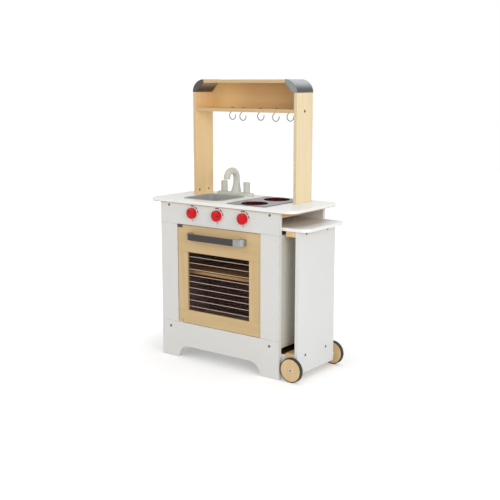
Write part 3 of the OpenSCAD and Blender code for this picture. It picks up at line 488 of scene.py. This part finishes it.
sink_grey = smooth_sprayed("sink", (168, 170, 167), 0.4, Specular_IOR_Level=0.2)
bowl_depth = sink_high.z - sink_low.z - sink_wall
rounded_part = 21 * MM
rolled_edge = [(0.2 * MM, 0.9 * MM), (0.7 * MM, 0.6 * MM)]
flat_rim = [(rim_width - 2.4 * MM, 0)]
upper_bend = [(0.9 * MM, -0.3 * MM), (0.8 * MM, -1.2 * MM), (1.0 * MM, -6 * MM)]
straight_wall = [(4.4 * MM, rounded_part - bowl_depth)]
lower_bend = [(1.6 * MM, -6 * MM), (2.6 * MM, -4 * MM), (4 * MM, -2.4 * MM), (6 * MM, -1.1 * MM)]
bowl = round_plate(sink_low, sink_high, sink_high.z - rim_thick, sink_corner)
stepped_in(bowl, rolled_edge + flat_rim + upper_bend + straight_wall + lower_bend)
bmesh.ops.recalc_face_normals(bowl, faces=bowl.faces)
if max(bowl.faces, key=lambda f: f.calc_area()).normal.z < 0:
    bmesh.ops.reverse_faces(bowl, faces=bowl.faces)
bmesh.ops.solidify(bowl, geom=bowl.faces, thickness=sheet)
shade(bowl)
finished("sink_bowl", bowl, sink_grey, "sink_basin", ["sink_basin"])


def turned(profile, centre):
    """A turned part: points (radius, height) spun about the upright line through its centre."""
    mesh = bmesh.new()
    axis = Vector((0, 0, 1))
    side = axis.orthogonal().normalized()
    points = [mesh.verts.new(Vector(centre) + side * radius + axis * height) for radius, height in profile]
    edges = [mesh.edges.new(pair) for pair in zip(points, points[1:])]
    bmesh.ops.spin(mesh, geom=points + edges, cent=centre, axis=axis, angle=2 * math.pi,
                   steps=48, use_merge=True, use_duplicate=False)
    bmesh.ops.remove_doubles(mesh, verts=mesh.verts, dist=0.005 * MM)
    bmesh.ops.recalc_face_normals(mesh, faces=mesh.faces)
    shade(mesh)
    return mesh


drain_centre = Vector((middle("sink_basin").x, middle("sink_basin").y, sink_low.z + 1.2 * MM))
drain_profile = [(0, 0.4 * MM), (9 * MM, 0.4 * MM), (12 * MM, 1.4 * MM), (14 * MM, 1.8 * MM),
                 (16 * MM, 1.6 * MM), (17 * MM, 0.6 * MM), (17 * MM, -0.4 * MM), (0, -0.4 * MM)]
drain_steel = steel("drain", (150, 151, 152), 0.3)
finished("sink_drain", turned(drain_profile, drain_centre), drain_steel, "sink_basin")

# ---------------------------------------------------------------- hob
# A thin grey plate with a dark printed border lies on the worktop, and two black discs
# with broken dark red rings stand for the heating rings. All of it is print.

hob_low, hob_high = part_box("hob_plate")


def hob_finish():
    """Brushed grey print with a dark border line."""
    finish = Finish("hob print", Specular_IOR_Level=0.05)
    inside = (finish.x - hob_low.x).least(hob_high.x - finish.x)
    inside = inside.least((finish.y - hob_low.y).least(hob_high.y - finish.y))
    line = inside.rise(3.4 * MM, 2.8 * MM)
    brushed = finish.noise((18, 1400, 600), detail=2)
    base = finish.mix(brushed, linear(166, 166, 170), linear(148, 148, 153))
    return finish.wear(Base_Color=finish.mix(line, base, linear(78, 72, 84)),
                       Roughness=brushed * 0.1 + 0.25, Normal=finish.bump(brushed, 0.01 * MM, 0.3))


def burner_finish():
    """Two rings of short red strokes round the middle of each disc. A ring is given by its
    share of the disc's radius and by its count of strokes."""
    low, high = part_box("burner_discs")
    radius = (high.x - low.x) / 2
    front, back = low.y + radius, high.y - radius
    finish = Finish("burner print", Specular_IOR_Level=0)
    across = finish.x - (low.x + high.x) / 2
    deep = finish.y - front - (finish.y > (front + back) / 2) * (back - front)
    out = (across * across + deep * deep) ** 0.5
    turn = deep.maths("ARCTAN2", across) / (2 * math.pi) + 0.5
    half_width, stroke_share = 2.3 * MM, 0.62
    rings = 0
    for ring, strokes in ((0.74, 12), (0.36, 7)):
        band = abs(out - radius * ring) < half_width
        rings = band * ((turn * strokes).maths("FRACT") < stroke_share) + rings
    cloud = finish.noise(60)
    base = finish.mix(cloud * 0.4, linear(30, 20, 21), linear(44, 30, 31))
    return finish.wear(Base_Color=finish.mix(rings * 0.9, base, linear(176, 26, 42)),
                       Roughness=cloud * 0.1 + 0.5)


eased("hob_plate", hob_finish(), 0.4 * MM)
eased("burner_discs", burner_finish(), 0.25 * MM)

# ---------------------------------------------------------------- tap
# The tap is moulded in a warm light grey plastic: a base plate with round ends, a column
# that swells towards its foot and bends over into the spout, and two handles that turn.
# The column stands a little behind the handles' line, and the spout is hollow at its mouth.

tap_low, tap_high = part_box("tap_body")
handle_boxes = {side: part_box("tap_handle_" + side) for side in ("left", "right")}
tap_plate, plate_half, plate_edge = 11.5 * MM, 16 * MM, 2.2 * MM
spout_radius, foot_radius, foot_height = 12.4 * MM, 19.5 * MM, 44 * MM
bend_radius = 29 * MM
column_back, foot_back, spout_rise = 7 * MM, 2.5 * MM, 3 * MM
foot_steps, foot_curve = 9, 1.6
tap_y = middle("tap_handle_left").y
tap_x = (handle_boxes["left"][0].x + handle_boxes["right"][1].x) / 2
tap_top = tap_low.z + tap_plate
bend_z = tap_high.z + spout_rise - bend_radius - spout_radius
tap_grey = smooth_sprayed("tap plastic", (214, 214, 204), 0.36, 0.3, Specular_IOR_Level=0.45)


def column_ring(mesh, radius, y, z):
    """A level circle on the tap's middle plane, as a list of its edges."""
    made = bmesh.ops.create_circle(mesh, segments=40, radius=radius, cap_ends=False,
                                   matrix=Matrix.Translation((tap_x, y, z)))
    return list({edge for vert in made["verts"] for edge in vert.link_edges})


def tap_spout():
    """The column's rings from its foot up, then the bend, then the hollow mouth."""
    mesh = bmesh.new()
    rings = [column_ring(mesh, foot_radius, tap_y + foot_back, tap_low.z)]
    for step in range(foot_steps + 1):
        up = step / foot_steps
        swell = (1 - up) ** foot_curve
        radius = spout_radius + (foot_radius - spout_radius) * swell
        back = column_back + (foot_back - column_back) * swell
        rings.append(column_ring(mesh, radius, tap_y + back, tap_top + foot_height * up))
    rings.append(column_ring(mesh, spout_radius, tap_y + column_back, bend_z))
    for lower, upper in zip(rings, rings[1:]):
        bmesh.ops.bridge_loops(mesh, edges=lower + upper)
    bmesh.ops.contextual_create(mesh, geom=rings[0])
    last = [e for e in mesh.edges if all(abs(v.co.z - bend_z) < 1e-7 for v in e.verts)]
    bend_middle = (tap_x, tap_y + column_back - bend_radius, bend_z)
    end = bmesh.ops.spin(mesh, geom=last, cent=bend_middle, axis=(1, 0, 0), angle=math.pi, steps=22,
                         use_merge=False, use_duplicate=False)["geom_last"]
    mouth = [g for g in end if isinstance(g, bmesh.types.BMEdge)]
    for shrink, lift in ((0.93, -0.6 * MM), (0.8, 0), (0.78, 9 * MM)):
        made = bmesh.ops.extrude_edge_only(mesh, edges=mouth)["geom"]
        verts = [g for g in made if isinstance(g, bmesh.types.BMVert)]
        mouth = [g for g in made if isinstance(g, bmesh.types.BMEdge)]
        centre = sum((v.co for v in verts), Vector()) / len(verts)
        ratio = shrink * spout_radius / (verts[0].co - centre).length
        bmesh.ops.scale(mesh, vec=(ratio, ratio, 1), verts=verts, space=Matrix.Translation(-centre))
        bmesh.ops.translate(mesh, vec=(0, 0, lift), verts=verts)
    bmesh.ops.contextual_create(mesh, geom=mouth)
    bmesh.ops.remove_doubles(mesh, verts=mesh.verts, dist=0.005 * MM)
    bmesh.ops.recalc_face_normals(mesh, faces=mesh.faces)
    shade(mesh)
    return mesh


plate = round_plate(Vector((tap_low.x, tap_y - plate_half, 0)),
                    Vector((tap_high.x, tap_y + plate_half, 0)),
                    tap_low.z, plate_half - 0.1 * MM, steps=12)
top_face = bmesh.ops.extrude_face_region(plate, geom=list(plate.faces))
bmesh.ops.translate(plate, vec=(0, 0, tap_plate),
                    verts=[g for g in top_face["geom"] if isinstance(g, bmesh.types.BMVert)])
bmesh.ops.recalc_face_normals(plate, faces=plate.faces)
upper_edges = [e for e in plate.edges if all(v.co.z > tap_top - 1e-6 for v in e.verts)]
bmesh.ops.bevel(plate, geom=upper_edges, offset=plate_edge, offset_type="OFFSET", affect="EDGES",
                segments=4, profile=0.5, material=-1)
shade(plate)
finished("tap_base_plate", plate, tap_grey, "tap_body")
finished("tap_spout", tap_spout(), tap_grey, "tap_body", ["tap_body"])

grip = 12.5 * MM
for side, box in handle_boxes.items():
    tall = box[1].z - tap_top
    foot = (middle("tap_handle_" + side).x, tap_y, tap_top)
    profile = [(0, 0.3 * MM), (grip - 1.4 * MM, 0.3 * MM), (grip - 0.8 * MM, 0.8 * MM),
               (grip - 0.8 * MM, 2.4 * MM), (grip, 3 * MM), (grip, tall - 3 * MM),
               (grip - 0.5 * MM, tall - 1.5 * MM), (grip - 1.5 * MM, tall - 0.5 * MM),
               (grip - 3 * MM, tall), (0, tall)]
    handle = "tap_handle_" + side
    finished("tap_grip_" + side, turned(profile, foot), tap_grey, handle, [handle])

# ---------------------------------------------------------------- hood
# The hood is a gate of 12 mm birch plywood: two posts, a top board, a shelf and a back
# board. Its wood is paler than the door's, but the back board is darker, and its left end is
# painted paler as painted light.

hood_arris = 0.7 * MM
hood_boards = {"left_post": (2, 0, (243, 214, 164), (233, 196, 142), 0.8),
               "right_post": (2, 0, (243, 226, 188), (233, 209, 166), 0.8),
               "hood_top_board": (0, 2, (234, 205, 156), (222, 184, 130), 0.8),
               "hood_shelf": (0, 2, (234, 205, 156), (222, 184, 130), 0.8)}
for board, wood in hood_boards.items():
    eased(board, birch(board, *wood), hood_arris)
# The back board's left end is painted paler: painted light.
back_wood = birch("hood_back_board", 0, 1, (222, 184, 130), (204, 163, 108), 0.9, painted_light_end=0.5)
eased("hood_back_board", back_wood, 0.5 * MM)

# ---------------------------------------------------------------- corner caps
# Each upper corner of the hood is a moulded cap, lacquered in a dark metallic grey, with a
# painted highlight towards its top and painted shade below. Its ends are lens-shaped, its
# slanted inner face is brown, and pegs hold it in the post and the top board. The left one's
# end is painted darker, as painted shade.

slant_wide, slant_high = 32 * MM, 32.5 * MM


def cap_finish(side, lens):
    """Metallic lacquer, painted lighter towards the top of the cap as a painted highlight, and darker
    below as painted shade.
    """
    low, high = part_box("corner_cap_" + side)
    finish = Finish("cap lacquer " + side, Metallic=0.5, Coat_Weight=0.2, Coat_Roughness=0.15)
    flakes = finish.noise(5000, detail=1)
    cloud = finish.noise(40, detail=3)
    front = finish.y < low.y + 0.6 * MM
    # Painted highlight and shade: the cap's colour goes from dark low down to light at the top.
    painted_highlight = ((finish.z - low.z) / (high.z - low.z)).rise(0.42, 0.85)
    shell = finish.mix(painted_highlight, linear(70, 68, 68), linear(182, 188, 190))
    shell = finish.mix(flakes * 0.2, shell, linear(128, 132, 134))
    inwards = high.x - finish.x if side == "left" else finish.x - low.x
    off_slant = abs((finish.z - low.z) / slant_high + inwards / slant_wide - 1)
    shell = finish.mix(off_slant < 0.06, shell, linear(150, 112, 74))
    colour = finish.mix(front, shell, linear(*lens))
    return finish.wear(Base_Color=finish.mix(cloud * 0.15, colour, linear(86, 84, 82)),
                       Roughness=cloud * 0.1 + 0.3, Normal=finish.bump(flakes, 0.004 * MM, 0.4))


# The left lens is painted darker than the right one: painted shade.
for side, lens in (("left", (58, 48, 47)), ("right", (120, 124, 123))):
    eased("corner_cap_" + side, cap_finish(side, lens), 1.2 * MM, segments=3)

# ---------------------------------------------------------------- hooks
# Five hooks of bright 3 mm wire hang in pairs of holes in the hood's shelf. A flat bend
# lies on the shelf, and a leaning leg goes down into a ring that is open at the right.

wire_radius, ring_radius, hole_pitch = 1.5 * MM, 14 * MM, 11 * MM
lean, ring_tip = math.radians(46), math.radians(15)
chrome = steel("hooks", (132, 131, 129), 0.2)


def hook_line(node):
    """The middle line of a hook's wire, from its hidden end up, over, down and round."""
    low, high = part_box(node)
    y = (low.y + high.y) / 2
    top = high.z - wire_radius
    ring_z = low.z + wire_radius + ring_radius
    ring_x = low.x + wire_radius + ring_radius
    start = Vector((ring_x - ring_radius * math.cos(lean), y, ring_z + ring_radius * math.sin(lean)))
    shelf_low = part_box("hood_shelf")[0].z
    drop = shelf_low - 1 * MM - start.z
    bend = start + Vector((drop * math.tan(lean), 0, drop))
    line = [Vector((bend.x + hole_pitch, y, shelf_low + 2 * MM))]
    for corner_x, turn in ((bend.x + hole_pitch, 0), (bend.x, math.pi / 2)):
        inner = Vector((corner_x + (-1 if turn == 0 else 1) * wire_radius, y, top - wire_radius))
        for step in range(5):
            angle = turn + step / 4 * math.pi / 2
            line.append(inner + wire_radius * Vector((math.cos(angle), 0, math.sin(angle))))
    line += [bend, start]
    sweep = math.pi + lean + ring_tip
    for step in range(1, 33):
        angle = math.pi - lean + sweep * step / 32
        outwards = Vector((math.cos(angle), 0, math.sin(angle)))
        line.append(Vector((ring_x, y, ring_z)) + ring_radius * outwards)
    return line


def wire(line, radius, name):
    """A round wire along a line, closed at both ends, as a mesh."""
    curve = bpy.data.curves.new(name, "CURVE")
    curve.dimensions, curve.bevel_depth, curve.bevel_resolution = "3D", radius, 4
    curve.use_fill_caps = True
    spline = curve.splines.new("POLY")
    spline.points.add(len(line) - 1)
    for point, place in zip(spline.points, line):
        point.co = (*place, 1)
    holder = bpy.data.objects.new(name, curve)
    mesh = bmesh.new()
    mesh.from_mesh(holder.to_mesh())
    holder.to_mesh_clear()
    bpy.data.objects.remove(holder)
    bpy.data.curves.remove(curve)
    bmesh.ops.remove_doubles(mesh, verts=mesh.verts, dist=0.002 * MM)
    bmesh.ops.recalc_face_normals(mesh, faces=mesh.faces)
    shade(mesh)
    return mesh


for number in range(1, 6):
    node = f"hook_{number}"
    finished(f"wire_hook_{number}", wire(hook_line(node), wire_radius, node), chrome, node, [node])

# ---------------------------------------------------------------- knobs
# Three knobs of glossy red plastic with a domed face and one small finger dot each. A
# printed scale curves round each of them, and a pale grey wedge is painted below each.

knobs = ("knob_left", "knob_middle", "knob_right")
knob_pitch = middle("knob_middle").x - middle("knob_left").x
scale_dashes = ((-20, 18), (28, 54), (62, 84))
scale_inner, scale_outer = 23.8 * MM, 27.2 * MM
tail_start, tail_end, tail_width = 88, 101, 0.5 * MM
tail_spread = 7.5 * MM
wedge_top, wedge_tip, wedge_half = 19.2 * MM, 33 * MM, 8 * MM
dot_reach, dot_radius = 10.45 * MM, 2.3 * MM


def knob_scales(finish, paint):
    """The printed scales. One scale is worked out from the distance to the nearest knob."""
    centre = middle("knob_middle")
    on_front = finish.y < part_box("front_top_rail")[0].y + face_depth
    from_middle = finish.x - centre.x
    across = (from_middle + knob_pitch / 2).maths("FLOORED_MODULO", knob_pitch) - knob_pitch / 2
    near = (abs(from_middle) < knob_pitch * 1.5) * on_front
    up = finish.z - centre.z
    out = (across * across + up * up) ** 0.5
    angle = across.maths("ARCTAN2", up) * (180 / math.pi)
    dashes = 0
    for start, end in scale_dashes:
        dashes = (angle > start) * (angle < end) + dashes
    dashes = dashes * (out > scale_inner) * (out < scale_outer)
    along = (angle - tail_start) / (tail_end - tail_start)
    tail = (angle > tail_start) * (angle < tail_end)
    tail = tail * (abs(out - scale_outer - along * tail_spread) < tail_width)
    below = up * -1
    # A pale grey wedge is painted on the rail below each knob.
    narrow = (wedge_tip - below) * (wedge_half / (wedge_tip - wedge_top))
    grey_wedge = (below > wedge_top) * (abs(across) < narrow)
    colour = finish.mix(grey_wedge * near, paint, linear(192, 190, 186))
    colour = finish.mix(tail * near * 0.6, colour, linear(214, 120, 116))
    return finish.mix(dashes * near, colour, linear(46, 43, 42))


eased("front_top_rail", painted("front_top_rail", print_on=knob_scales), board_arris)


def knob_finish(knob, dot_angle):
    """Glossy red, with painted shade in the hollow of the finger dot, which lies at an angle from the
    right.
    """
    finish = Finish("plastic " + knob, Coat_Weight=0.08, Coat_Roughness=0.1, Specular_IOR_Level=0.15)
    centre, turn = middle(knob), math.radians(dot_angle)
    across = finish.x - centre.x - dot_reach * math.cos(turn)
    up = finish.z - centre.z - dot_reach * math.sin(turn)
    # The finger dot's hollow is painted dark red: painted shade.
    dot = (across * across + up * up) ** 0.5 < dot_radius
    cloud = finish.noise(50, detail=3)
    fine = finish.noise(2200, detail=1)
    base = finish.mix(cloud * 0.6, linear(214, 14, 26), linear(196, 9, 20))
    return finish.wear(Base_Color=finish.mix(dot, base, linear(88, 10, 14)), Roughness=cloud * 0.1 + 0.25,
                       Normal=finish.bump(fine, 0.006 * MM, 0.3))


for knob, dot_angle in zip(knobs, (135, 0, 225)):
    eased(knob, knob_finish(knob, dot_angle), 0)

# ---------------------------------------------------------------- oven door
# The door is framed in 12 mm birch plywood that is a shade more golden than the hood's. A
# smoked acrylic pane with nine white lines sits in a rebate behind the frame.

door_face, door_streak = (217, 190, 145), (203, 171, 122)
for board, grain in (("top_rail", 0), ("bottom_rail", 0), ("left_stile", 2), ("right_stile", 2)):
    board = "door_" + board
    eased(board, birch(board, grain, 1, door_face, door_streak), 0.7 * MM)

line_top, line_pitch, line_half = 378.4 * MM, 22.64 * MM, 0.42 * MM


def pane_finish():
    """Smoked acrylic with fine printed lines, which are opaque where the pane is clear."""
    finish = Finish("smoked acrylic", Specular_IOR_Level=0.15)
    haze = finish.noise(14, detail=3)
    lines = (finish.z - line_top).maths("PINGPONG", line_pitch / 2) < line_half
    smoke = finish.mix(haze * 0.4, linear(26, 13, 12), linear(38, 24, 22))
    return finish.wear(Base_Color=finish.mix(lines, smoke, linear(226, 220, 214)),
                       Roughness=haze * 0.06 + 0.06, Alpha=lines.most(haze * 0.06 + 0.08))


nodes["door_window"].data.materials.clear()
nodes["door_window"].data.materials.append(pane_finish())

# ---------------------------------------------------------------- door handle, hinges and catch
# The bow handle is a bent flat bar in satin silver, held by two screws from behind, with a
# dark grey soft strip let into its front. The door turns on two steel pins in a birch block
# below and a block above that is painted dark brown, as painted shade of the dark gap at the
# door's top corner, and a black magnetic catch holds it.

silver = smooth_sprayed("handle silver", (146, 149, 147), 0.3, 0.3, Metallic=0.6)
eased("door_handle", silver, 2.2 * MM, segments=4)
eased("handle_grip", smooth_sprayed("grip", (55, 49, 51), 0.6), 0.5 * MM)
bright_steel = steel("pins", (176, 178, 180), 0.26)
for fastener in ("handle_screws", "hinge_pins"):
    eased(fastener, bright_steel, 0)
# The upper hinge block is painted dark brown: painted shade where the door's corner shows the dark inside.
eased("hinge_block_top", smooth_sprayed("hinge block", (74, 56, 46), 0.5), 0.5 * MM)
eased("hinge_block_bottom", birch("hinge_block_bottom", 0, None, door_face, door_streak), 0.5 * MM)
eased("magnet_catch", smooth_sprayed("catch", (44, 43, 43), 0.45), 0.6 * MM)

# ---------------------------------------------------------------- trolley
# The trolley parked in the cabinet's side is made of white boards like the cabinet's. Its
# side panel is painted a touch lighter and cooler as painted light, and its shelf's top is
# painted dark brown as painted shade. Two battens of solid birch take the bolts of its side
# panel, and the lower one carries the wheels.

shelf_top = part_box("trolley_shelf")[1].z


def painted_shade_top(finish, paint):
    """The shelf's upper face is painted dark brown, as painted shade."""
    fibre = finish.mix(finish.noise(160, detail=4), linear(64, 46, 38), linear(50, 35, 28))
    return finish.mix(finish.z > shelf_top - face_depth, paint, fibre)


# The side panel's white is painted a touch lighter and cooler than the cabinet's: painted light.
eased("trolley_side", painted("trolley_side", (228, 229, 227)), board_arris)
eased("trolley_inner_leg", painted("trolley_inner_leg"), board_arris)
# The shelf's top is painted dark brown: painted shade under the oven's floor.
eased("trolley_shelf", painted("trolley_shelf", print_on=painted_shade_top), board_arris)
eased("trolley_top", worktop_finish("trolley_top", 0.5 * MM), 2.4 * MM, segments=3)
eased("trolley_battens", birch("trolley_battens", 1, None, (230, 198, 148), (216, 180, 128)), 0.8 * MM)

# ---------------------------------------------------------------- wheels
# Each wheel is a plywood disc with a black rubber tyre. It turns on a white bushing, and a
# screw through the bushing holds it to the lower batten.

for wheel in ("front", "rear"):
    disc = "wheel_disc_" + wheel
    eased(disc, birch(disc, 2, 1, (226, 198, 152), (212, 180, 132)), 0.6 * MM)
    eased("tyre_" + wheel, smooth_sprayed("rubber " + wheel, (40, 39, 38), 0.62), 1.3 * MM, segments=3)
eased("wheel_bushings", smooth_sprayed("bushing", (232, 232, 228), 0.4), 0)
